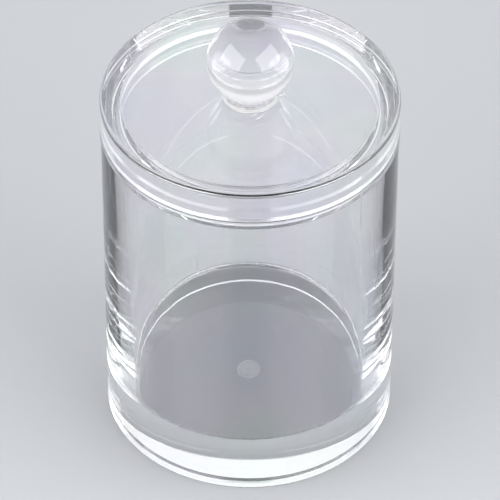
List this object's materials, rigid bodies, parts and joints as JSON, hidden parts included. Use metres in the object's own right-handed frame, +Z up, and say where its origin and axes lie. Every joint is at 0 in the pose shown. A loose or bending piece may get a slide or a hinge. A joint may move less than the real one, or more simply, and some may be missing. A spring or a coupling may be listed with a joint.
{
  "type": "lidded canister",
  "caption": "Clear thick-walled round canister with a heavy base, a lift-off plug lid and a ball knob, for cotton swabs or pads.",
  "frame": {"origin": "on the canister's axis, at the level of the surface that its foot stands on", "axes": "+Z up along the canister's axis; X and Y are free, because every piece is round about Z"},
  "size_m": [0.07, 0.07, 0.1155],
  "materials": {
    "clear_jar": "polished clear moulding",
    "clear_lid": "polished clear moulding",
    "clear_knob": "polished clear moulding",
    "cured_cement": "cured clear cement, slightly hazy"
  },
  "bodies": {
    "jar": {"jar_body": "clear_jar"},
    "lid": {"lid": "clear_lid", "knob": "clear_knob", "knob_cement": "cured_cement"}
  },
  "joints": [
    {"name": "lid_lift", "type": "slide", "parent": "jar", "child": "lid", "axis": [0, 0, 1], "range_m": [0, 0.08]}
  ]
}
